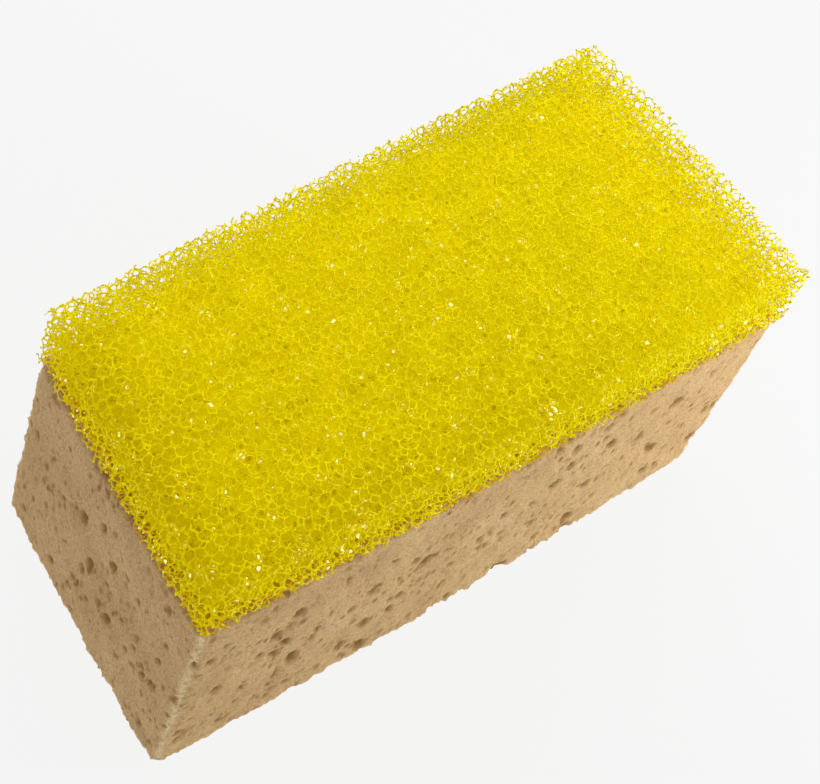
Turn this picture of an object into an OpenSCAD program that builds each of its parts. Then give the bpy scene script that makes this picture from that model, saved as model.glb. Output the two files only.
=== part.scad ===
// Two-layer cleaning sponge for tile grout: a fine-pored foam block with a
// coarse open-cell scouring layer glued on top. It stands on the block's foot,
// +Z points up through the layers and +X runs along the long side.
// The origin is the middle of the foot's bounding rectangle.

/* [Block] */
// Length of the sponge along the middle, end to end
body_l = 180; // [140:1:220]
// Width of the sponge at the middle, side to side
body_w = 84; // [70:1:120]
// Height of the fine-pored block
block_h = 64; // [30:1:90]

/* [Top layers] */
// Thickness of the glue film between the two foams
bond_t = 0.6; // [0.3:0.1:1.5]
// Height of the coarse open-cell scouring layer
scour_h = 18.4; // [8:0.2:30]

/* [Hand-cut outline] */
// Radius of the four upright edges
edge_r = 2.5; // [1:0.5:8]
// How far the left end leans away from square, in degrees
left_cut = 5; // [-8:0.5:8]
// How far the right end leans away from square, in degrees
right_cut = -1.5; // [-8:0.5:8]
// How far the back side turns away from the front side, in degrees
back_cut = 3; // [-5:0.5:5]

/* [Hidden] */
$fn = 96;

// Upright-edge centres before centring: the cut lines moved in by the radius.
half_l = body_l / 2 - edge_r;
half_w = body_w / 2 - edge_r;
left_run = tan(left_cut);
right_run = tan(right_cut);
back_run = tan(back_cut);
back_left_y = (half_w - half_l * back_run) / (1 - left_run * back_run);
back_right_y = (half_w + half_l * back_run) / (1 - right_run * back_run);

raw = [
    [-half_l - half_w * left_run, -half_w],
    [half_l - half_w * right_run, -half_w],
    [half_l + back_right_y * right_run, back_right_y],
    [-half_l + back_left_y * left_run, back_left_y]
];
xs = [for (p = raw) p.x];
ys = [for (p = raw) p.y];
middle = [max(xs) + min(xs), max(ys) + min(ys)] / 2;
centres = [for (p = raw) p - middle];

// Outward unit normal of the cut line from edge centre i to the next one.
function normal_after(i) =
    let (d = centres[(i + 1) % 4] - centres[i])
    [d.y, -d.x] / norm(d);

// The two points where the rounding of edge i meets its straight cut lines.
function tangents(i) = [
    centres[i] + edge_r * normal_after((i + 3) % 4),
    centres[i] + edge_r * normal_after(i)
];

module outline() {
    polygon([for (i = [0:3]) each tangents(i)]);
    for (p = centres) translate(p) circle(r = edge_r);
}

module layer(from_z, height) {
    translate([0, 0, from_z]) linear_extrude(height) outline();
}

module sponge_block() {
    color([0.80, 0.68, 0.52]) layer(0, block_h);
}

module bond_layer() {
    color([0.86, 0.62, 0.10]) layer(block_h, bond_t);
}

module scour_layer() {
    color([0.92, 0.84, 0.04]) layer(block_h + bond_t, scour_h);
}

sponge_block();
bond_layer();
scour_layer();
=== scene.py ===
"""Looks of a two-layer grout sponge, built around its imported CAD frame.

A fine-pored foam block carries a coarse open-cell scouring layer, glued on with
a thin amber film. Lengths named here are in millimetres, and every mesh is
scaled to metres when it is made.
"""

import itertools
import math

import bpy
import numpy as np
from mathutils import Matrix, Vector


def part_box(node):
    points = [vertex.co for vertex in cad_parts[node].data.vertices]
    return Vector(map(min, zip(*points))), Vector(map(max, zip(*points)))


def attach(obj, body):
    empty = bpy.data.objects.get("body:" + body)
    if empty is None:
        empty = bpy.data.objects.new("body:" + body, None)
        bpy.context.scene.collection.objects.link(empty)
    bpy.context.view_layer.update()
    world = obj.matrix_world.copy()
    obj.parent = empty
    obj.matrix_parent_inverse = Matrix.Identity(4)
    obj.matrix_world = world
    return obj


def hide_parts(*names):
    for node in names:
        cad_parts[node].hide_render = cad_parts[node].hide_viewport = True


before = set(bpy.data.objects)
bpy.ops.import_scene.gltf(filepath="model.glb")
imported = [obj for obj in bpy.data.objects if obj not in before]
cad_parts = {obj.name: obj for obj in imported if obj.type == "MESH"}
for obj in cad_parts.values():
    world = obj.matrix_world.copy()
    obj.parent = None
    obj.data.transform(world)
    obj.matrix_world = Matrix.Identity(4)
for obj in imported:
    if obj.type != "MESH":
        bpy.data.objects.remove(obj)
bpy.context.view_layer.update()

MM = 0.001

# ---------------------------------------- settings

# Whole sponge: the soft body leans a little and each side bellies out
BOW_LEFT, BOW_RIGHT = 0.5, 1.9  # how far the two ends belly out at their middle
BOW_FRONT, BOW_BACK = 1.4, 0.5  # and the two long sides
LEAN_LEFT, LEAN_RIGHT = 0.053, 0.068  # how far each end wall leans to +X, per mm of height
LEAN_FRONT, LEAN_BACK = 0.034, 0.008  # and how far each long wall leans to +Y
CROWN = 0.6  # how far the scouring face rises at its middle

# Coarse scouring foam
CELL = 3.0  # diameter of a ball as large as one cell
CELL_JITTER = 0.16  # random shift of cell centres, as a share of the lattice pitch
RELAX_ROUNDS, RELAX_SHARE = 2, 0.35  # how often and how far knots move to their neighbours
NODE_R = 0.3  # size of the knot where four struts meet
DEEP_R = 0.22  # knot size below the outermost cells
NODE_SPREAD = 0.18  # how much knot sizes vary, as a share
WAIST = 0.5  # thickness of a strut's middle, as a share of its ends
TIP = 0.7  # thickness of a cut strut's end, as a share of its foot
FINE_LENGTH = 0.5  # struts shorter than this get no waist
STUB_KEEP = 0.6  # share of a cut strut that is left up to the cut face
SIDE_STUB = 0.5  # and the share of that which is left on the upright sides
STUB_MIN = 0.2  # a cut strut shorter than this is left out
CORE_NEAR = 3.5  # how far the dense middle stays from the left and front sides
CORE_FAR = 4.0  # how far its foot stays from the right and back sides
CORE_SLOPE = 11.0  # how much further its top stays from them
CORE_TOP = 6.0  # how far it stays under the top
CORE_EDGE_R, CORE_STEP = 2.5, 1.0  # rounding of its edges, distance of its mesh points
CORE_BUMPS = ((0.7, 3.2, 4), (0.5, 6.5, 6))  # height, length and seed of each swell
CORE_SIDE_BUMP = 0.006  # share of its width by which a bump of 1 mm draws in its sides
FINE_DEPTH = 4.0  # struts this near a cut face get a slim waist
THICK_DEPTH = 2.0  # knots this near a cut face are the larger ones
RAGGED_WAVE, RAGGED_GRAIN = 0.45, 0.35  # unevenness of the cut faces, broad and fine
RAGGED_LENGTH = 9.0  # from one broad swell of a cut face to the next
SHADE_DEPTH = 5.0  # painted shade darkens struts down to this depth
RIM_REACH = 11.0  # how far in from the left and front the painted shade of mouths and deep parts reaches
LIGHT_REACH = 40.0  # how far light from the right and back seeps in
BACK_SHADE = 22.0  # the back lets in as little as a side this much further off
CLEAR_RIM = 18.0  # nearer than this to the right and back sides the painted shade of depth is weaker
FACE_PULL = 3.0  # how near a cut face must be to turn a strut's shading its way
OWN_NORMAL, FACE_NORMAL = 0.55, 0.8  # shares of a strut's own roundness and of the face
FOAM_PIECES = 8  # the network is made in this many strips
FOAM_PROUD = 0.6  # how far the network's sides stand out beyond the block's
FOAM_DROP = 0.7  # how far its loose ends reach down past the glue
FILMS = 1700  # leftover films that close cell windows
FILM_SPAN = (0.15, 0.5)  # least and largest size of a film, as a share of its window
FILM_CORNERS = (4, 7)  # least and largest number of corners of such a window
FILM_TOP, FILM_SIDE = 1.6, 1.5  # how near the top, and the left and front, they gather
FILM_SKIN, FILM_BROAD = 1.2, 9.0  # the same for any cut face, and for top and sides at once
FILM_CLUMPS, FILM_CLUMP = 1.8, 8.0  # how strongly they clump, and how wide a clump is
FILM_BULGE, FILM_HALF = 0.25, 0.05  # how far their middles stray, and half their thickness

# Fine-pored block
BLOCK_EDGE_R = (3.2, 3.2, 1.6)  # rounding of its edges along X, Y and Z
BLOCK_STEP = (0.95, 0.95, 0.7)  # distance between its mesh points along X, Y and Z
EDGE_REACH = 3.0  # how far the paler rim along its edges reaches
RIM_CREST = 1.7  # above 1, the rim is fully pale for some way in from the edge
BLOCK_SWELLS = ((0.35, 16, 1), (0.15, 4.5, 2))  # its skin: height, length and seed of each
BLOCK_CRUMBS, EDGE_CRUMBS = ((0.10, 1.7, 3),), ((0.25, 2.4, 4),)
EDGE_WORN, EDGE_GRAIN = 0.1, 0.15  # how much of its edges is worn off, and how rough they are
BIG_PORES = 115
BIG_HALF, BIG_SPREAD = (1.3, 1.9), (0.95, 1.2)  # half widths, and factors for them
MID_PORES = 640
MID_HALF = (0.55, 1.3)
EDGE_PORES = 46  # hollows that nick the lower and upright edges
EDGE_HALF = (0.6, 1.7)
PORE_DEPTH = (0.35, 0.75)  # how deep pores are, in half widths
JOINED_EVERY, JOINED_GAP = 5, 1.3  # one pore in so many joins another, this far off
BOWL_RIM, BOWL_SLOPE = 1.2, 0.7  # where a pore's wall ends and how wide it is, in half widths
PORE_WARP, WARP_LENGTH = 0.28, 2.6  # how far a pore's outline wanders, and over what length
PORE_TALL, PORE_ROUND = (1.05, 1.75), (0.8, 1.2)  # half widths up Z, on sides and foot

# Glue film
GLUE_INSET = 1.3  # how far its rim stays in from the outline
GLUE_EDGE_R, GLUE_STEP = 0.2, 1.2  # rounding of its edges, distance of its mesh points
GLUE_RIM = 1.6  # width of the part whose edge wanders in and out
GLUE_WANDER = ((0.45, 9, 8), (0.3, 2.5, 7))  # how: height, length and seed of each swell
GLUE_SWELL = 0.35  # how much its upper side swells
GLUE_SINK, GLUE_RISE = 0.15, 0.25  # how far it soaks into the foams below and above


# ---------------------------------------- plan shape


UPRIGHT = 0.1  # a face whose direction rises or falls less than this is a wall


def wall_corners(node):
    """Plan corners of a CAD node in mm, from its upright walls: front left,
    front right, back right and back left, as if the corners were sharp."""
    largest = {}
    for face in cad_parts[node].data.polygons:
        n = face.normal
        if abs(n.z) > UPRIGHT:
            continue
        side = ("x", n.x > 0) if abs(n.x) > abs(n.y) else ("y", n.y > 0)
        if face.area > largest.get(side, (0,))[0]:
            offset = n.xy.dot(face.center.xy) / MM
            largest[side] = (face.area, (n.x, n.y), offset)

    def meet(x_side, y_side):
        rows = [largest["x", x_side], largest["y", y_side]]
        return np.linalg.solve([r[1] for r in rows], [r[2] for r in rows])

    return np.array(
        [meet(False, False), meet(True, False), meet(True, True), meet(False, True)]
    )


_, block_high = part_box("sponge_block")
scour_low, scour_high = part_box("scour_layer")
BLOCK_TOP = block_high.z / MM
SCOUR_FOOT = scour_low.z / MM
SCOUR_TOP = scour_high.z / MM

corners = wall_corners("sponge_block")
HALF_L = np.linalg.norm(corners[1] - corners[0] + corners[2] - corners[3]) / 4
HALF_W = np.linalg.norm(corners[3] - corners[0] + corners[2] - corners[1]) / 4

# Opposite corners of the dense middle of the scouring layer
core_low = np.array([CORE_NEAR - HALF_L, CORE_NEAR - HALF_W, SCOUR_FOOT])
core_high = np.array([HALF_L - CORE_FAR, HALF_W - CORE_FAR, SCOUR_TOP - CORE_TOP])


def near_rim(points):
    """How near points lie to the left side, and to the left part of the front
    side, from 1 to 0; deep parts there get painted shade."""
    left = np.clip(HALF_L + points[:, 0], 0, None)
    front = np.clip(HALF_W + points[:, 1], 0, None)
    fading = np.clip(1 - left / (2 * HALF_L), 0, 1)
    return np.maximum(np.exp(-left / RIM_REACH), fading * np.exp(-front / RIM_REACH))


def near_light(points):
    """How much light seeps in from the right and back sides, from 1 to 0."""
    side = np.minimum(HALF_L - points[:, 0], HALF_W - points[:, 1] + BACK_SHADE)
    return np.exp(-np.clip(side, 0, None) / LIGHT_REACH)


def core_rise(z):
    """How high z is in the dense middle: 0 at its foot and 1 at its top."""
    return np.clip((z - core_low[2]) / (core_high[2] - core_low[2]), 0, 1)


def to_shape(points):
    """Moves points (in mm) from a square-cut box of half sides HALF_L and HALF_W
    to the sponge's real outline, with its slanting cuts and bellied sides."""
    u, v = points[:, 0] / HALF_L, points[:, 1] / HALF_W
    weights = [(1 - u) * (1 - v), (1 + u) * (1 - v), (1 + u) * (1 + v), (1 - u) * (1 + v)]
    plan = sum(w[:, None] * c for w, c in zip(weights, corners)) / 4
    across = np.clip(1 - u * u, 0, 1), np.clip(1 - v * v, 0, 1)
    right, back = (1 + u) / 2, (1 + v) / 2
    above = points[:, 2] - SCOUR_TOP / 2
    lean_x = LEAN_LEFT + (LEAN_RIGHT - LEAN_LEFT) * right
    lean_y = LEAN_FRONT + (LEAN_BACK - LEAN_FRONT) * back
    bow_x = BOW_LEFT + (BOW_RIGHT - BOW_LEFT) * right
    bow_y = BOW_FRONT + (BOW_BACK - BOW_FRONT) * back
    moved = points.copy()
    moved[:, 0] = plan[:, 0] + lean_x * above + bow_x * u * across[1]
    moved[:, 1] = plan[:, 1] + lean_y * above + bow_y * v * across[0]
    rise = np.clip(points[:, 2] / SCOUR_TOP, 0, 1)
    moved[:, 2] += CROWN * rise * across[0] * across[1]
    return moved


# ---------------------------------------- mesh helpers


def mesh_piece(name, points, faces, material, smooth=True):
    """A new object from points in mm and faces given as one integer array for
    each number of corners."""
    mesh = bpy.data.meshes.new(name)
    faces = [f for f in faces if len(f)]
    sizes = np.concatenate([np.full(len(f), f.shape[1]) for f in faces])
    loops = np.concatenate([f.ravel() for f in faces])
    mesh.vertices.add(len(points))
    mesh.vertices.foreach_set("co", (points * MM).astype(np.float32).ravel())
    mesh.loops.add(len(loops))
    mesh.loops.foreach_set("vertex_index", loops.astype(np.int32))
    mesh.polygons.add(len(sizes))
    starts = np.concatenate([[0], np.cumsum(sizes)[:-1]])
    mesh.polygons.foreach_set("loop_start", starts.astype(np.int32))
    mesh.polygons.foreach_set("loop_total", sizes.astype(np.int32))
    mesh.polygons.foreach_set("use_smooth", np.full(len(sizes), smooth))
    mesh.update(calc_edges=True)
    mesh.materials.append(material)
    piece = bpy.data.objects.new(name, mesh)
    bpy.context.scene.collection.objects.link(piece)
    return piece


def set_point_value(mesh, name, values):
    """Keeps one number for each point of a mesh, for its material to read."""
    layer = mesh.attributes.new(name, "FLOAT", "POINT")
    layer.data.foreach_set("value", np.asarray(values, np.float32))


# ---------------------------------------- open-cell foam

STEP_REACH, STEP_SQUARE = 3, 11  # neighbours are sought this far off, in half pitches
NEIGHBOURS = 26  # how many of the nearest are kept
BATCH = 800  # sites that are worked on at once, to spare memory
LARGEST_BALL = 0.95  # of the pitch; an emptier place lies at the rim of the sites
FLAT, SLACK = 1e-6, 1e-7  # four cells this flat touch no ball; what rounding may add
SITE_MARGIN, KNOT_MARGIN = 2.0, 1.3  # how many cells the lattice and its knots reach out
OTHER_SLOTS = np.array([[1, 2, 3], [0, 2, 3], [0, 1, 3], [0, 1, 2]])  # of a knot's four
STRUT_ENDS = ((0, 1, 2), (2, 3, 0))  # columns of a strut: this knot, its slot, far knot


def cell_centres(half, pitch, jitter, rng):
    """Jittered body-centred sites that fill a box of those half sides, and for
    each site the numbers of its nearest sites, the nearest first."""
    count = [2 * math.ceil(h / pitch) for h in half]
    axes = [np.arange(-c, c + 1) for c in count]
    site = np.stack(np.meshgrid(*axes, indexing="ij"), -1).reshape(-1, 3)
    site = site[(site % 2 == site[:, :1] % 2).all(1)]
    centre = site * (pitch / 2) + rng.normal(0, jitter * pitch, site.shape)
    number = np.full([2 * c + 1 + 2 * STEP_REACH for c in count], -1)
    at = site + np.array(count) + STEP_REACH
    number[at[:, 0], at[:, 1], at[:, 2]] = np.arange(len(site))
    steps = [
        s
        for s in itertools.product(range(-STEP_REACH, STEP_REACH + 1), repeat=3)
        if len({x % 2 for x in s}) == 1 and 0 < sum(x * x for x in s) <= STEP_SQUARE
    ]
    near = at[:, None] + np.array(steps)
    near = number[near[..., 0], near[..., 1], near[..., 2]]
    away = np.linalg.norm(centre[near] - centre[:, None], axis=2)
    away[near < 0] = np.inf
    order = np.argsort(away, axis=1)[:, :NEIGHBOURS]
    return centre, np.take_along_axis(near, order, 1)


def foam_knots(centre, near, largest, wanted):
    """The points where four cells meet: their places and the four cells of each.
    Each is the middle of an empty ball that touches four cell centres."""
    triples = np.array(list(itertools.combinations(range(near.shape[1]), 3)))
    places, cells = [], []
    ids = np.flatnonzero(wanted & (near >= 0).all(1))
    for part in np.array_split(ids, max(1, len(ids) // BATCH)):
        later = near[part] > part[:, None]
        row, t = np.nonzero(later[:, triples].all(2))
        rel = centre[near[part]] - centre[part, None]
        square = (rel**2).sum(2)
        a, b, c = (rel[row, triples[t, k]] for k in range(3))
        aa, bb, cc = (square[row, triples[t, k]][:, None] for k in range(3))
        bc, ca, ab = np.cross(b, c), np.cross(c, a), np.cross(a, b)
        volume = (a * bc).sum(1)
        volume[np.abs(volume) < FLAT] = np.nan
        ball = (aa * bc + bb * ca + cc * ab) / (2 * volume[:, None])
        good = np.flatnonzero((ball**2).sum(1) < largest**2)
        for block in np.array_split(np.arange(near.shape[1]), 3):
            gap = square[row[good]][:, block] - 2 * np.einsum(
                "nj,nkj->nk", ball[good], rel[row[good]][:, block]
            )
            good = good[(gap > -SLACK).all(1)]
        row, t, ball = row[good], t[good], ball[good]
        places.append(centre[part[row]] + ball)
        picked = near[part[row][:, None], triples[t]]
        cells.append(np.column_stack([part[row], picked]))
    return np.concatenate(places), np.sort(np.concatenate(cells), axis=1)


def foam_struts(cells):
    """Pairs of knots that share three cells: (knot, slot, knot, slot), where the
    slot is the place of the cell that the strut doesn't touch."""
    shared = cells[:, OTHER_SLOTS].astype(np.int64).reshape(-1, 3)
    key = (shared[:, 0] << 42) | (shared[:, 1] << 21) | shared[:, 2]
    order = np.argsort(key, kind="stable")
    same = np.flatnonzero(key[order][1:] == key[order][:-1])
    first, second = order[same], order[same + 1]
    return np.column_stack([first // 4, first % 4, second // 4, second % 4])


def single_use(struts):
    """Which struts to keep so that no face of a knot carries two."""
    ends = struts[:, [0, 2]] * 4 + struts[:, [1, 3]]
    carried = np.bincount(ends.ravel())
    keep = np.ones(len(struts), bool)
    taken = set()
    for i in np.flatnonzero((carried[ends] > 1).any(1)):
        pair = set(ends[i].tolist())
        if pair & taken:
            keep[i] = False
        else:
            taken |= pair
    return keep


def unit(vectors):
    """The same directions with a length of 1."""
    return vectors / np.maximum(np.linalg.norm(vectors, axis=-1, keepdims=True), 1e-9)


def relaxed(places, struts, rounds, share):
    """Knots drawn towards the mean of their neighbours, as surface tension does."""
    ends = np.concatenate([struts[:, [0, 2]], struts[:, [2, 0]]])
    met = np.bincount(ends[:, 0], minlength=len(places))
    for _ in range(rounds):
        pull = np.zeros_like(places)
        for k in range(3):
            total = np.bincount(
                ends[:, 0], weights=places[ends[:, 1], k], minlength=len(places)
            )
            pull[:, k] = total / np.maximum(met, 1)
        held = met < 4
        pull[held] = places[held]
        places = places + share * (pull - places)
    return places


def waves(points, length, seed):
    """A smooth wandering value of about -1 to 1 at each point."""
    rng = np.random.default_rng(seed)
    total = np.zeros(len(points))
    for _ in range(6):
        direction = unit(rng.normal(size=3))
        turn = rng.uniform(0, 2 * math.pi)
        pace = 2 * math.pi / (length * rng.uniform(0.7, 1.5))
        total += np.sin(points @ direction * pace + turn)
    return total / 3


def uneven(points, swells):
    """Several wandering values put together, each a (height, length, seed)."""
    return sum(height * waves(points, length, seed) for height, length, seed in swells)


def cut_share(start, end, low, high):
    """How far along each line from start to end it first leaves the box."""
    step = end - start
    with np.errstate(divide="ignore", invalid="ignore"):
        room = np.where(step > 0, (high - start) / step, (low - start) / step)
    room = np.where(np.abs(step) < 1e-9, np.inf, room)
    return np.clip(room.min(1), 0, 1)


class Foam:
    """The strut network of the scouring layer, in a square-cut box."""

    def __init__(self, low, high, rng):
        self.low, self.high = np.array(low), np.array(high)
        middle, half = (self.low + self.high) / 2, (self.high - self.low) / 2
        pitch = (math.pi / 3 * CELL**3) ** (1 / 3)  # two cells fill one cube of it
        centre, near = cell_centres(half + SITE_MARGIN * CELL, pitch, CELL_JITTER, rng)
        centre += middle
        wanted = (np.abs(centre - middle) < half + KNOT_MARGIN * CELL).all(1)
        wanted &= ~self.in_core(centre, CELL)
        places, self.cells = foam_knots(centre, near, LARGEST_BALL * pitch, wanted)
        self.centre = centre
        struts = foam_struts(self.cells)
        struts = struts[single_use(struts)]
        self.places = relaxed(places, struts, RELAX_ROUNDS, RELAX_SHARE)
        self.size = rng.uniform(1 - NODE_SPREAD, 1 + NODE_SPREAD, len(places))
        self.kept = self.inside(self.places)
        self.rough = rng.normal(0, RAGGED_GRAIN, len(places))
        self.struts = struts[self.kept[struts[:, 0]] | self.kept[struts[:, 2]]]

    def in_core(self, points, inset=0.0):
        """Whether points lie in the dense middle, deeper than inset below its skin."""
        away = CORE_SLOPE * core_rise(points[:, 2] + inset)[:, None] * [1, 1, 0]
        deep = (points < core_high - away - inset).all(1)
        return deep & (points[:, :2] > core_low[:2] + inset).all(1)

    def depth(self, points):
        """How deep points lie under the nearest cut face, the foot left out."""
        x, y, z = points.T
        return np.minimum.reduce(
            [self.high[0] - np.abs(x), self.high[1] - np.abs(y), self.high[2] - z]
        )

    def shade(self, points):
        """How much painted shade each point of the network gets, from 0 at the skin
        to 1 deep down. The rims that light shines through stay bright."""
        side = (self.high[:2] - points[:, :2]).min(1)
        return self.depth(points) / SHADE_DEPTH * np.clip(side / CLEAR_RIM, 0, 1)

    def way_out(self, points):
        """The direction of the nearest cut faces at each point."""
        gaps = self.high - np.column_stack([np.abs(points[:, :2]), points[:, 2]])
        pull = np.exp(-np.clip(gaps, 0, None) / FACE_PULL)
        sign = np.column_stack([np.sign(points[:, :2]), np.ones(len(points))])
        return unit(pull * sign)

    def beside(self, points):
        """Whether points lie at the network's own height, neither over nor under it."""
        return (points[:, 2] > self.low[2]) & (points[:, 2] < self.high[2])

    def inside(self, points):
        """Whether points lie in the layer and outside its dense middle."""
        inside = ((points > self.low) & (points < self.high)).all(1)
        return inside & ~self.in_core(points)

    def stub_share(self, knot, end):
        """How much is left of struts from a knot to an end that is cut away."""
        start = self.places[knot]
        ragged = RAGGED_WAVE * waves(start, RAGGED_LENGTH, 3) + self.rough[knot]
        ragged = ragged[:, None]
        low, high = self.low - ragged * [1, 1, 0], self.high + ragged
        inward = self.in_core(end)
        share = STUB_KEEP * np.where(inward, 1.0, cut_share(start, end, low, high))
        share[~inward & self.beside(end)] *= SIDE_STUB
        return share


def turned_over(faces, wrong):
    """Three-cornered faces, of which the wrong ones are made to run the other way."""
    faces[wrong] = faces[wrong][:, [0, 2, 1]]
    return faces


class FoamSkin:
    """A closed skin over some of the foam's struts. Each knot is a small
    tetrahedron whose corners point into its four cells, and each strut is a
    three-sided tube that joins a face of one knot to a face of the next."""

    def __init__(self, foam, chosen):
        self.foam, self.struts = foam, foam.struts[chosen]
        knots = np.unique(self.struts[:, [0, 2]])
        self.knots = knots[foam.kept[knots]]
        self.local = np.full(len(foam.places), -1)
        self.local[self.knots] = np.arange(len(self.knots))
        self.heading = self.knot_headings()
        self.corners = self.knot_corners()
        self.points, self.triangles, self.quads = [self.corners], [], []
        self.made = len(self.corners)
        self.joined = np.zeros((len(self.knots), 4), bool)
        self.whole_struts()
        for columns in STRUT_ENDS:
            self.cut_struts(*columns)
        self.bare_faces()

    def knot_headings(self):
        """The directions of each knot's four struts."""
        foam, local = self.foam, self.local
        heading = unit(foam.places[self.knots][:, None] - foam.centre[foam.cells[self.knots]])
        for a, slot, b in STRUT_ENDS:
            own = foam.struts[foam.kept[foam.struts[:, a]]]
            own = own[local[own[:, a]] >= 0]
            away = foam.places[own[:, b]] - foam.places[own[:, a]]
            heading[local[own[:, a]], own[:, slot]] = unit(away)
        return heading

    def knot_corners(self):
        """Corners of the tetrahedra, four for each knot, each across from its strut."""
        middle = self.foam.places[self.knots]
        deep = self.foam.depth(middle) > THICK_DEPTH
        radius = np.where(deep, DEEP_R, NODE_R) * self.foam.size[self.knots]
        return (middle[:, None] - radius[:, None, None] * self.heading).reshape(-1, 3)

    def face(self, knot, slot):
        """Corner numbers of a knot's face, and whether they run the wrong way
        round for its strut."""
        ids = self.local[knot][:, None] * 4 + OTHER_SLOTS[slot]
        p = self.corners[ids]
        facing = np.cross(p[:, 1] - p[:, 0], p[:, 2] - p[:, 0])
        return ids, (facing * self.heading[self.local[knot], slot]).sum(1) < 0

    def spokes(self, ids, origin, along):
        """From a strut's middle line, straight out to the corners of its tube."""
        arm = self.corners[ids] - origin[:, None]
        return arm - along * (arm * along).sum(2, keepdims=True)

    def new_rings(self, points):
        """Adds rings of three points, and gives their numbers."""
        ids = self.made + np.arange(len(points) * 3).reshape(-1, 3)
        self.points.append(points.reshape(-1, 3))
        self.made += len(points) * 3
        return ids

    def tubes(self, one, two):
        """Sides of tubes between two lots of rings."""
        for k in range(3):
            m = (k + 1) % 3
            self.quads.append(np.column_stack([one[:, k], one[:, m], two[:, m], two[:, k]]))

    def whole_struts(self):
        """Tubes from knot to knot, which get a waist near the cut faces."""
        foam = self.foam
        whole = foam.kept[self.struts[:, 0]] & foam.kept[self.struts[:, 2]]
        one, slot_one, two, slot_two = self.struts[whole].T
        face_one, wrong = self.face(one, slot_one)
        face_two, _ = self.face(two, slot_two)
        self.joined[self.local[one], slot_one] = True
        self.joined[self.local[two], slot_two] = True
        face_one, face_two = turned_over(face_one, wrong), turned_over(face_two, wrong)
        start, end = foam.places[one], foam.places[two]
        fine = foam.depth((start + end) / 2) < FINE_DEPTH
        fine &= np.linalg.norm(end - start, axis=1) > FINE_LENGTH
        along = unit(end - start)[:, None]
        reach = self.spokes(face_one, start, along) + self.spokes(face_two, end, along)
        waist = (start + end)[:, None] / 2 + WAIST / 2 * reach
        waist = self.new_rings(waist[fine])
        self.tubes(face_one[~fine], face_two[~fine])
        self.tubes(face_one[fine], waist)
        self.tubes(waist, face_two[fine])

    def cut_struts(self, a, slot, b):
        """Stubs of struts that a cut face or the core ends. a, slot and b are the
        columns of the knot that is left, of its slot and of the one cut away."""
        foam = self.foam
        cut = self.struts[foam.kept[self.struts[:, a]] & ~foam.kept[self.struts[:, b]]]
        if not len(cut):
            return
        start, end = foam.places[cut[:, a]], foam.places[cut[:, b]]
        share = foam.stub_share(cut[:, a], end)
        long = share * np.linalg.norm(end - start, axis=1) > STUB_MIN
        cut, start, end, share = cut[long], start[long], end[long], share[long]
        foot = turned_over(*self.face(cut[:, a], cut[:, slot]))
        self.joined[self.local[cut[:, a]], cut[:, slot]] = True
        reach = self.spokes(foot, start, unit(end - start)[:, None])
        tip = (start + share[:, None] * (end - start))[:, None] + TIP * reach
        tip = self.new_rings(tip)
        self.tubes(foot, tip)
        self.triangles.append(tip)

    def bare_faces(self):
        """Closes the faces of knots that no strut leaves from."""
        knot, slot = np.nonzero(~self.joined)
        self.triangles.append(turned_over(*self.face(self.knots[knot], slot)))


def soften(mesh, outward):
    """Shades struts partly as the cut face they lie under, for light passes
    through them and leaves their own roundness faint."""
    own = np.empty(len(outward) * 3, np.float32)
    mesh.vertices.foreach_get("normal", own)
    blend = unit(OWN_NORMAL * own.reshape(-1, 3) + FACE_NORMAL * outward)
    mesh.normals_split_custom_set_from_vertices(blend.tolist())


def scour_struts(material):
    """The scouring layer's strut network, and its FOAM_PIECES strips along X."""
    rng = np.random.default_rng(11)
    half_l, half_w = HALF_L + FOAM_PROUD, HALF_W + FOAM_PROUD
    low = (-half_l, -half_w, SCOUR_FOOT - FOAM_DROP)
    high = (half_l, half_w, SCOUR_TOP)
    foam = Foam(low, high, rng)
    middle = (foam.places[foam.struts[:, 0]] + foam.places[foam.struts[:, 2]])[:, 0]
    ends = np.quantile(middle, np.linspace(0, 1, FOAM_PIECES + 1)[1:-1])
    strip = np.searchsorted(ends, middle)
    made = []
    for i in range(FOAM_PIECES):
        skin = FoamSkin(foam, strip == i)
        points = np.concatenate(skin.points)
        faces = [np.concatenate(skin.triangles), np.concatenate(skin.quads)]
        piece = mesh_piece(f"scour_cells_{i + 1}", to_shape(points), faces, material)
        set_point_value(piece.data, "foam_shade", foam.shade(points))
        set_point_value(piece.data, "near_light", near_light(points))
        set_point_value(piece.data, "near_rim", near_rim(points))
        soften(piece.data, foam.way_out(points))
        made.append(piece)
    return foam, made


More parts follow.
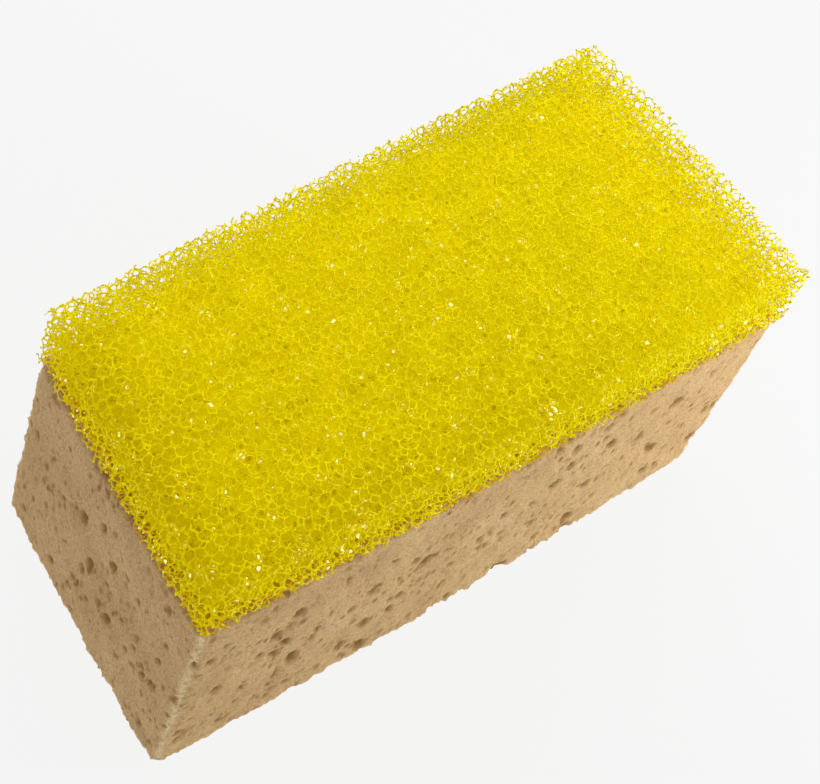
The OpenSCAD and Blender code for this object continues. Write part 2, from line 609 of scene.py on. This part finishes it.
def cell_films(foam, material):
    """Leftover films: thin discs that close some windows between two cells."""
    rng = np.random.default_rng(31)
    pairs = np.array(list(itertools.combinations(range(4), 2)))
    knots = np.flatnonzero(foam.kept)
    sides = foam.cells[knots][:, pairs].astype(np.int64).reshape(-1, 2)
    owner = np.repeat(knots, len(pairs))
    key = (sides[:, 0] << 21) | sides[:, 1]
    order = np.argsort(key, kind="stable")
    starts = np.flatnonzero(np.r_[True, key[order][1:] != key[order][:-1]])
    groups = np.split(order, starts[1:])
    groups = [g for g in groups if FILM_CORNERS[0] <= len(g) <= FILM_CORNERS[1]]
    middle = np.array([foam.places[owner[g]].mean(0) for g in groups])
    top = foam.high[2] - middle[:, 2]
    side = np.minimum(middle[:, 0] - foam.low[0], middle[:, 1] - foam.low[1])
    weight = np.exp(-top / FILM_TOP) * (1.0 + 0.3 * np.exp(-side / FILM_BROAD))
    weight += 2.0 * np.exp(-side / FILM_SIDE) + 0.3 * np.exp(-foam.depth(middle) / FILM_SKIN)
    weight *= np.exp(FILM_CLUMPS * waves(middle, FILM_CLUMP, 51))
    chosen = rng.choice(len(groups), FILMS, replace=False, p=weight / weight.sum())
    points, faces, made = [], [], 0
    for i in chosen:
        g = groups[i]
        ring = foam.places[owner[g]]
        axis = unit(foam.centre[sides[g[0], 1]] - foam.centre[sides[g[0], 0]])
        arm = unit(np.cross(axis, [0.3, 0.5, 0.8]))
        rel = ring - middle[i]
        turn = np.arctan2(rel @ np.cross(axis, arm), rel @ arm)
        rim = middle[i] + rng.uniform(*FILM_SPAN) * rel[np.argsort(turn)]
        n = len(rim)
        heart = middle[i] + rng.normal(0, FILM_BULGE, 3)
        sheet = np.vstack([rim, heart + FILM_HALF * axis, heart - FILM_HALF * axis])
        k = np.arange(n)
        after = (k + 1) % n
        points.append(sheet)
        faces.append(made + np.column_stack([k, after, np.full(n, n)]))
        faces.append(made + np.column_stack([after, k, np.full(n, n + 1)]))
        made += n + 2
    points = to_shape(np.concatenate(points))
    return mesh_piece("scour_films", points, [np.concatenate(faces)], material, smooth=False)


# ---------------------------------------- materials


class Material:
    """A material built from nodes, with textures that lie in the sponge's own
    space. Its methods take sockets, numbers and colours alike."""

    def __init__(self, name):
        self.made = bpy.data.materials.new(name)
        self.made.use_nodes = True
        self.tree = self.made.node_tree
        self.shader = self.tree.nodes["Principled BSDF"]
        self.coords = self.add("TexCoord").outputs["Object"]

    def add(self, kind, **settings):
        """A new node. Its settings are inputs, by their names, or its own options."""
        node = self.tree.nodes.new("ShaderNode" + kind)
        for key, value in settings.items():
            if key in node.inputs:
                self.feed(node.inputs[key], value)
            else:
                setattr(node, key, value)
        return node

    def feed(self, socket, value):
        """Feeds a socket from another one, or sets it to a number or a colour."""
        if isinstance(value, bpy.types.NodeSocket):
            self.tree.links.new(value, socket)
        elif isinstance(value, tuple):
            socket.default_value = (*value, 1)
        else:
            socket.default_value = value

    def give(self, name, value):
        """Feeds or sets one of the shader's own sockets."""
        self.feed(self.shader.inputs[name], value)

    def noise(self, scale, detail=2.0, roughness=0.5):
        """Noise. The scale is in features per metre."""
        settings = {"Scale": scale, "Detail": detail, "Roughness": roughness}
        return self.add("TexNoise", Vector=self.coords, **settings).outputs["Fac"]

    def voronoi(self, width, feature, coords=None):
        """A Voronoi texture. The cell width is in mm."""
        at = coords or self.coords
        return self.add("TexVoronoi", feature=feature, Vector=at, Scale=1 / (width * MM))

    def attribute(self, name):
        """A number that the mesh keeps for each of its points."""
        return self.add("Attribute", attribute_name=name).outputs["Fac"]

    def place_along(self, axis):
        """The place along one of the sponge's axes, in metres."""
        return self.add("SeparateXYZ", Vector=self.coords).outputs[axis]

    def channels(self, colour):
        """The three numbers of a colour."""
        return self.add("SeparateColor", Color=colour).outputs

    def span(self, value, low, high, to_low=0.0, to_high=1.0):
        """A value moved from one range to another and held within it."""
        ends = {"From Min": low, "From Max": high, "To Min": to_low, "To Max": to_high}
        return self.add("MapRange", clamp=True, Value=value, **ends).outputs["Result"]

    def calculated(self, one, two, operation="MULTIPLY"):
        """Two numbers put together."""
        node = self.add("Math", operation=operation)
        self.feed(node.inputs[0], one)
        self.feed(node.inputs[1], two)
        return node.outputs[0]

    def mixed(self, share, one, two, how="MIX"):
        """Two colours mixed, by the share of the second."""
        node = self.add("Mix", data_type="RGBA", blend_type=how)
        for number, value in ((0, share), (6, one), (7, two)):
            self.feed(node.inputs[number], value)
        return node.outputs[2]

    def tinted(self, colour, tint):
        """A colour multiplied by a tint."""
        return self.mixed(1.0, colour, tint, "MULTIPLY")

    def ramp(self, value, stops):
        """A colour ramp from (position, colour) stops."""
        node = self.add("ValToRGB", Fac=value)
        bar = node.color_ramp
        while len(bar.elements) < len(stops):
            bar.elements.new(0.5)
        for element, (place, colour) in zip(bar.elements, stops):
            element.position = place
            element.color = (*colour, 1)
        return node.outputs["Color"]

    def bumped(self, height, strength, distance, **settings):
        """Shading normals that follow a height."""
        settings.update(Height=height, Strength=strength, Distance=distance)
        return self.add("Bump", **settings).outputs["Normal"]


# Yellow foam: the colours of struts from the cut face down, which darken with depth as
# painted shade, and their glow, a painted light which stands for the light that wanders
# through the clear struts
YELLOW = (0.66, 0.575, 0.0)
YELLOW_DEEP_SHADE = (0.65, 0.555, 0.0)
YELLOW_HOLLOW_SHADE = (0.61, 0.505, 0.0)
CORE_WALL = (0.62, 0.54, 0.0)
# painted shade in the hollows of the dense middle
CORE_HOLLOW_SHADE = (0.52, 0.43, 0.0)
AMBER = (0.45, 0.26, 0.0)
GLOW_YELLOW = (1.0, 0.81, 0.0)
GLOW_AMBER = (0.80, 0.44, 0.0)
FOAM_GLOW = 0.365
CORE_GLOW = 0.35
FILM_DULL = (0.60, 0.50, 0.02)
FILM_PALE = (0.80, 0.72, 0.25)
# a painted glint, which some films glow with
FILM_PAINTED_GLINT = (2.0, 1.85, 1.0)

# Tints that multiply the yellow foam's colour and glow: random clouds, and painted light and
# shade
WHITE = (1.0, 1.0, 1.0)
CLOUD_DIM, CLOUD_BRIGHT = (0.90, 0.88, 0.8), (1.04, 1.04, 1.0)
MOUTH_SHADE = (0.66, 0.59, 0.5)  # painted shade in the mouths of some cells
RIM_SHADE = (0.74, 0.67, 0.6)  # painted shade on deep parts near the left and front
SEEPING_LIGHT = (1.22, 1.22, 1.1)  # painted light on deep parts near the right and back
EVEN_TOP_SHADE, EVEN_DEEP_LIGHT = (0.94, 0.955, 1.0), (1.02, 1.035, 1.0)  # painted shade on tops and painted light deep down, far right, for less contrast

# The other pieces
TAN_DARK = (0.61, 0.39, 0.182)
TAN = (0.675, 0.45, 0.21)
TAN_LIGHT = (0.70, 0.475, 0.24)
# painted shade in the tan block's pores
PORE_SHADE_BROWN = (0.35, 0.185, 0.045)
RIM_PALE = (0.93, 0.69, 0.39)
GLUE_DARK = (0.55, 0.27, 0.03)
GLUE_AMBER = (0.78, 0.46, 0.05)
GLUE_LIGHT = (0.85, 0.62, 0.10)
FLOOR_GREY = (0.05, 0.05, 0.05)
FLOOR_GLOW = 0.875


def tone_and_painted_light(mat, below):
    """A tint for the foam: random clouds, painted shade in cell mouths and on deep
    parts near the left and front, and painted light on deep parts near the right
    and back, evened out far right. Below says how deep a point lies, from 0 to 1.
    """
    clouds = mat.span(mat.noise(130, detail=3), 0.3, 0.7)
    tone = mat.mixed(clouds, CLOUD_DIM, CLOUD_BRIGHT)
    rim, lit = mat.attribute("near_rim"), mat.attribute("near_light")

    cell = mat.voronoi(2.5, "F1")
    mouth_shade = mat.span(cell.outputs["Distance"], 0.22, 0.5, 1.0, 0.0)
    open_cell = mat.span(mat.channels(cell.outputs["Color"])[0], 0.35, 1.0)
    shade_near_rim = mat.span(rim, 0.0, 1.0, 0.9, 1.7)
    for other in (open_cell, below, shade_near_rim):
        mouth_shade = mat.calculated(mouth_shade, other)

    tone = mat.mixed(mat.calculated(rim, below), tone, RIM_SHADE)
    tone = mat.tinted(tone, mat.mixed(mouth_shade, WHITE, MOUTH_SHADE))
    tone = mat.tinted(tone, mat.mixed(mat.calculated(lit, below), WHITE, SEEPING_LIGHT))

    far = mat.span(mat.place_along("X"), -0.4 * HALF_L * MM, 0.4 * HALF_L * MM)
    even = mat.mixed(far, WHITE, mat.mixed(below, EVEN_TOP_SHADE, EVEN_DEEP_LIGHT))
    even = mat.mixed(mat.span(lit, 0.5, 0.75), even, WHITE)
    return mat.tinted(tone, even)


def satin_and_painted_glow(mat, glow):
    """A soft satin finish with a painted glow that stands for light scattered through the
    foam.
    """
    mat.give("Roughness", 0.55)
    mat.give("Specular IOR Level", 0.04)
    mat.give("Emission Strength", glow)


def strut_material():
    """Yellow plastic struts, tinted by the glue near their foot, darkened with depth by
    painted shade and lit by a painted glow.
    """
    mat = Material("scour_yellow")
    shade = mat.attribute("foam_shade")
    tone = tone_and_painted_light(mat, mat.span(shade, 0.12, 0.45))
    # painted shade: struts darken with depth below the cut face
    stops = [(0.0, YELLOW), (0.35, YELLOW_DEEP_SHADE), (1.0, YELLOW_HOLLOW_SHADE)]
    colour = mat.tinted(mat.ramp(shade, stops), tone)
    soaked, clean = (SCOUR_FOOT + 1.0) * MM, (SCOUR_FOOT + 4.5) * MM
    near_glue = mat.span(mat.place_along("Z"), soaked, clean, 1.0, 0.0)
    glue = mat.calculated(near_glue, mat.span(mat.noise(330, detail=1), 0.42, 0.62))
    mat.give("Base Color", mat.mixed(glue, colour, AMBER))
    glow = mat.tinted(tone, GLOW_YELLOW)
    mat.give("Emission Color", mat.mixed(glue, glow, GLOW_AMBER))
    satin_and_painted_glow(mat, FOAM_GLOW)
    return mat.made


def core_material():
    """The deeper cells, closely packed: bright walls round hollows darkened by painted shade,
    with a painted glow.
    """
    mat = Material("scour_deep")
    walls = mat.voronoi(2.3, "DISTANCE_TO_EDGE")
    hollow = mat.span(walls.outputs["Distance"], 0.06, 0.32)
    tone = tone_and_painted_light(mat, 1.0)
    mat.give("Base Color", mat.tinted(mat.mixed(hollow, CORE_WALL, CORE_HOLLOW_SHADE), tone))
    mat.give("Emission Color", mat.tinted(tone, GLOW_YELLOW))
    mat.give("Normal", mat.bumped(hollow, 0.6, 0.0006, invert=True))
    satin_and_painted_glow(mat, CORE_GLOW)
    return mat.made


def film_material():
    """Shiny leftover cell films with a painted glow, some of which carry a painted glint."""
    mat = Material("cell_film")
    tint = mat.span(mat.noise(420), 0.4, 0.6)
    mat.give("Base Color", mat.mixed(tint, FILM_DULL, FILM_PALE))
    glint = mat.span(mat.noise(300), 0.53, 0.61)
    mat.give("Emission Color", mat.mixed(glint, GLOW_YELLOW, FILM_PAINTED_GLINT))
    mat.give("Emission Strength", FOAM_GLOW)
    mat.give("Roughness", 0.25)
    mat.give("Specular IOR Level", 1.0)
    return mat.made


def glue_material():
    """Dried amber glue."""
    mat = Material("glue_amber")
    stops = [(0.3, GLUE_DARK), (0.5, GLUE_AMBER), (0.7, GLUE_LIGHT)]
    mat.give("Base Color", mat.ramp(mat.noise(220, detail=4), stops))
    mat.give("Normal", mat.bumped(mat.noise(900), 0.5, 0.0003))
    mat.give("Roughness", 0.3)
    return mat.made


def small_pores(mat, spacing, largest, strongest):
    """Soft round spots, a little taller than wide, as a 0 to 1 value. Each Voronoi
    cell, one spacing (in mm) wide, holds one spot of its own size, up to the given
    share of the spacing, and many hold none to speak of."""
    flat = mat.add("Mapping", Vector=mat.coords)
    flat.inputs["Scale"].default_value = (1, 1, 0.7)
    cell = mat.voronoi(spacing, "F1", flat.outputs["Vector"])
    pick = mat.channels(cell.outputs["Color"])
    size = mat.span(pick[0], 0.2, 1.0, 0.01, largest)
    away = mat.calculated(cell.outputs["Distance"], size, "DIVIDE")
    spot = mat.span(away, 0.4, 1.2, strongest, 0.0)
    return mat.calculated(spot, mat.span(pick[1], 0.0, 1.0, 0.35, 1.0))


def tan_material():
    """Dry fine-celled sponge foam: grain, faint clouds, paler edges, and pores darkened by
    painted shade.
    """
    mat = Material("sponge_tan")
    stops = [(0.3, TAN_DARK), (0.55, TAN), (0.75, TAN_LIGHT)]
    colour = mat.ramp(mat.noise(45, detail=3), stops)
    colour = mat.mixed(mat.attribute("edge_rim"), colour, RIM_PALE)
    grain = mat.noise(1500, detail=3, roughness=0.75)
    speck = mat.span(grain, 0.3, 0.7, 0.70, 1.30)
    grey = mat.add("CombineColor", Red=speck, Green=speck, Blue=speck)
    colour = mat.tinted(colour, grey.outputs["Color"])
    fine = small_pores(mat, 2.5, 0.48, 1.0)
    tiny = small_pores(mat, 1.4, 0.42, 0.6)
    # painted shade in the small pores and in the block's own pore hollows
    for pores in (fine, tiny, mat.attribute("pore_shade")):
        colour = mat.mixed(pores, colour, PORE_SHADE_BROWN)
    mat.give("Base Color", colour)
    rough = mat.bumped(grain, 0.4, 0.0003)
    mat.give("Normal", mat.bumped(fine, 0.3, 0.0003, invert=True, Normal=rough))
    mat.give("Roughness", 0.95)
    mat.give("Specular IOR Level", 0.15)
    return mat.made


# ---------------------------------------- solid pieces


def rounded_box(low, high, radius, step):
    """Points, four-cornered faces and outward directions of a box with rounded
    edges, on a grid. The radius and the step are one number, or one for each axis."""
    low, high, radius = (np.array(x, float) for x in (low, high, radius))
    count = np.maximum(2, np.round((high - low) / step).astype(int))
    number = {}
    points, faces = [], []

    def at(key):
        if key not in number:
            number[key] = len(points)
            points.append(low + (high - low) * np.array(key) / count)
        return number[key]

    for axis in range(3):
        a, b = (axis + 1) % 3, (axis + 2) % 3
        for end in (0, count[axis]):
            for i in range(count[a]):
                for j in range(count[b]):
                    corner = []
                    for di, dj in ((0, 0), (1, 0), (1, 1), (0, 1)):
                        key = [0, 0, 0]
                        key[axis], key[a], key[b] = end, i + di, j + dj
                        corner.append(at(tuple(int(k) for k in key)))
                    faces.append(corner if end else corner[::-1])
    points = np.array(points)
    inner = np.clip(points, low + radius, high - radius)
    outward = unit((points - inner) / radius)
    return inner + radius * outward, np.array(faces), outward


def pore_places(low, high, rng):
    """Centres on the box's skin, half sizes and depths of the pores."""
    size = high - low
    sides = [(1, 0), (1, 1), (0, 0), (0, 1), (2, 0)]  # axis and end; the top has none
    area = np.array([size[(a + 1) % 3] * size[(a + 2) % 3] for a, _ in sides])
    radii = np.concatenate(
        [
            rng.uniform(*BIG_HALF, BIG_PORES) * rng.uniform(*BIG_SPREAD, BIG_PORES),
            rng.uniform(*MID_HALF, MID_PORES),
            rng.uniform(*EDGE_HALF, EDGE_PORES),
        ]
    )
    centres, halves = [], []
    for i, r in enumerate(radii):
        axis, end = sides[rng.choice(len(sides), p=area / area.sum())]
        c = low + size * rng.random(3)
        c[axis] = high[axis] if end else low[axis]
        if i >= BIG_PORES + MID_PORES:
            other = rng.choice([k for k in range(3) if k != axis])
            c[other] = low[other] if other == 2 or rng.random() < 0.5 else high[other]
        if i % JOINED_EVERY == JOINED_EVERY - 1:  # this pore runs into the one before
            c = centres[-1] + rng.normal(0, 1, 3) * JOINED_GAP * halves[-1]
        upright = rng.uniform(*(PORE_TALL if axis != 2 else PORE_ROUND))
        centres.append(c)
        halves.append(r * np.array([1, 1, upright]))
    depths = radii * rng.uniform(*PORE_DEPTH, len(radii))
    return np.array(centres), np.array(halves), depths


def pore_field(points, low, high, rng):
    """How deep each skin point sinks into a pore, and how deep inside the pore's
    outline it is, from 0 to 1, which sets the painted shade in the pore."""
    warp = np.column_stack([waves(points, WARP_LENGTH, seed) for seed in (41, 42, 43)])
    warped = points + PORE_WARP * warp
    sink, within = np.zeros(len(points)), np.zeros(len(points))
    for c, half, depth in zip(*pore_places(low, high, rng)):
        near = np.flatnonzero((np.abs(points - c) < half * 1.6 + 0.5).all(1))
        rho = np.linalg.norm((warped[near] - c) / half, axis=1)
        bowl = np.clip((BOWL_RIM - rho) / BOWL_SLOPE, 0, 1)
        bowl = bowl * bowl * (3 - 2 * bowl)
        sink[near] = np.maximum(sink[near], depth * bowl)
        within[near] = np.maximum(within[near], bowl * min(1, 0.6 + 0.6 * depth))
    return sink, within


def sponge_block(material):
    """The fine-pored block: an uneven, slightly crumbly rounded box whose skin
    sinks into pores."""
    rng = np.random.default_rng(23)
    low = np.array([-HALF_L, -HALF_W, 0.0])
    high = np.array([HALF_L, HALF_W, BLOCK_TOP])
    points, faces, outward = rounded_box(low, high, BLOCK_EDGE_R, BLOCK_STEP)
    sink, within = pore_field(points, low, high, rng)
    x, y, z = points.T
    walls = np.sort([HALF_L - abs(x), HALF_W - abs(y), z], axis=0)
    rim = np.clip(RIM_CREST * (1 - walls[1] / EDGE_REACH), 0, 1) ** 2
    crumbs = uneven(points, BLOCK_CRUMBS) + rim * (uneven(points, EDGE_CRUMBS) - EDGE_WORN)
    crumbs += EDGE_GRAIN * np.sqrt(rim) * rng.normal(0, 1, len(points))
    moved = points + outward * (uneven(points, BLOCK_SWELLS) + crumbs - sink)[:, None]
    moved[:, 2] = np.clip(moved[:, 2], 0, None)
    block = mesh_piece("sponge_block_foam", to_shape(moved), [faces], material)
    # how much painted shade each point gets in its pore
    set_point_value(block.data, "pore_shade", within)
    set_point_value(block.data, "edge_rim", rim)
    return block


def glue_film(material):
    """The glue between the foams: a thin sheet with an uneven rim."""
    low = (-HALF_L, -HALF_W, BLOCK_TOP - GLUE_SINK)
    high = (HALF_L, HALF_W, SCOUR_FOOT + GLUE_RISE)
    points, faces, _ = rounded_box(low, high, GLUE_EDGE_R, GLUE_STEP)
    rim = np.maximum(abs(points[:, 0]) - HALF_L, abs(points[:, 1]) - HALF_W) > -GLUE_RIM
    outward = unit(points * [1, 1, 0] / [HALF_L, HALF_W, 1])
    spread = uneven(points, GLUE_WANDER) - GLUE_INSET
    points += np.where(rim, spread, 0)[:, None] * outward
    upper = points[:, 2] > BLOCK_TOP + GLUE_EDGE_R
    points[:, 2] += upper * GLUE_SWELL * (1 + waves(points, 5, 9))
    return mesh_piece("glue_film", to_shape(points), [faces], material)


def foam_core(material):
    """The dense middle of the scouring layer, where no light gets through."""
    points, faces, _ = rounded_box(core_low, core_high, CORE_EDGE_R, CORE_STEP)
    bumps = uneven(points, CORE_BUMPS)
    across = (points - core_low) / (core_high - core_low)
    points[:, :2] -= CORE_SLOPE * (core_rise(points[:, 2])[:, None] * across)[:, :2]
    points[:, 2] += bumps * (points[:, 2] > SCOUR_FOOT + CORE_STEP)
    points[:, :2] *= 1 - CORE_SIDE_BUMP * bumps[:, None]
    core = mesh_piece("scour_core", to_shape(points), [faces], material)
    set_point_value(core.data, "near_light", near_light(points))
    set_point_value(core.data, "near_rim", near_rim(points))
    return core


# ---------------------------------------- build


def build():
    """Every visible piece, with the CAD node that it stands for."""
    foam, strips = scour_struts(strut_material())
    films = cell_films(foam, film_material())
    core = foam_core(core_material())
    block = sponge_block(tan_material())
    glue = glue_film(glue_material())
    for piece, node, slot in (
        (block, "sponge_block", "fine_foam"),
        (glue, "bond_layer", "glue_film"),
        *((p, "scour_layer", "coarse_foam") for p in (*strips, films, core)),
    ):
        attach(piece, "root")
        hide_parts(node)


# ---------------------------------------- camera, light

CAMERA_PLACE = (-240.9, -160.7, 436.6)
CAMERA_HEADING = -57.55  # which way it looks round the sponge; 0 is along +Y
CAMERA_DROP = 53.76  # how steeply it looks down
CAMERA_ROLL = 24.62
CAMERA_LENS, CAMERA_SENSOR = 83.55, 36

# Place in metres, diameter in metres, power in watts
LAMPS = {
    "overhead": ((0.31, 0.09, 0.36), 0.4, 0.96),
    "right": ((0.265, -0.205, 0.142), 0.15, 0.61),
    "back": ((0.1, 0.5, 0.3), 0.5, 1.4),
    "glint": ((-0.2, 0.35, 0.7), 0.06, 0.25),
}
LAMP_AIM = Vector((0, 0, 0.04))
SKY_LIGHT, SKY_SEEN = 0.3, 0.9  # what the sky gives, and how pale it looks itself
FLOOR_HALF = 3000


def camera():
    """The camera at the photo's angle."""
    data = bpy.data.cameras.new("camera")
    data.lens, data.sensor_width = CAMERA_LENS, CAMERA_SENSOR
    data.clip_start, data.clip_end = 0.01, 20
    eye = bpy.data.objects.new("camera", data)
    bpy.context.scene.collection.objects.link(eye)
    turn = (
        Matrix.Rotation(math.radians(CAMERA_HEADING), 4, "Z")
        @ Matrix.Rotation(math.radians(90 - CAMERA_DROP), 4, "X")
        @ Matrix.Rotation(math.radians(CAMERA_ROLL), 4, "Z")
    )
    eye.matrix_world = Matrix.Translation(Vector(CAMERA_PLACE) * MM) @ turn
    bpy.context.scene.camera = eye


def lamp(name, place, size, power):
    """A round white lamp aimed at the sponge."""
    data = bpy.data.lights.new(name, "AREA")
    data.shape, data.size, data.energy = "DISK", size, power
    made = bpy.data.objects.new(name, data)
    made.location = place
    made.rotation_euler = (LAMP_AIM - Vector(place)).to_track_quat("-Z", "Y").to_euler()
    made.visible_camera = False
    bpy.context.scene.collection.objects.link(made)


def sky():
    """An even white sky."""
    world = bpy.data.worlds.new("studio")
    world.use_nodes = True
    glow = world.node_tree.nodes["Background"]
    glow.inputs["Color"].default_value = (1, 1, 1, 1)
    ray = world.node_tree.nodes.new("ShaderNodeLightPath")
    seen = world.node_tree.nodes.new("ShaderNodeMapRange")
    seen.inputs["To Min"].default_value = SKY_LIGHT
    seen.inputs["To Max"].default_value = SKY_SEEN
    world.node_tree.links.new(ray.outputs["Is Camera Ray"], seen.inputs["Value"])
    world.node_tree.links.new(seen.outputs["Result"], glow.inputs["Strength"])
    bpy.context.scene.world = world


def floor():
    """A wide pale floor that glows, so that it is the same white everywhere."""
    mat = Material("floor_white")
    mat.give("Base Color", FLOOR_GREY)
    mat.give("Roughness", 1.0)
    mat.give("Specular IOR Level", 0.0)
    mat.give("Emission Color", WHITE)
    mat.give("Emission Strength", FLOOR_GLOW)
    signs = np.array([[-1, -1, 0], [1, -1, 0], [1, 1, 0], [-1, 1, 0]])
    one_face = [np.array([[0, 1, 2, 3]])]
    mesh_piece("floor", FLOOR_HALF * signs, one_face, mat.made, smooth=False)


def studio():
    """Sky, lamps and floor."""
    sky()
    for name, (place, size, power) in LAMPS.items():
        lamp(name, place, size, power)
    light = bpy.context.scene.cycles
    light.diffuse_bounces, light.max_bounces = 16, 20  # light goes deep into the foam
    floor()


bpy.context.scene.view_settings.view_transform = "Standard"
camera()
build()
studio()
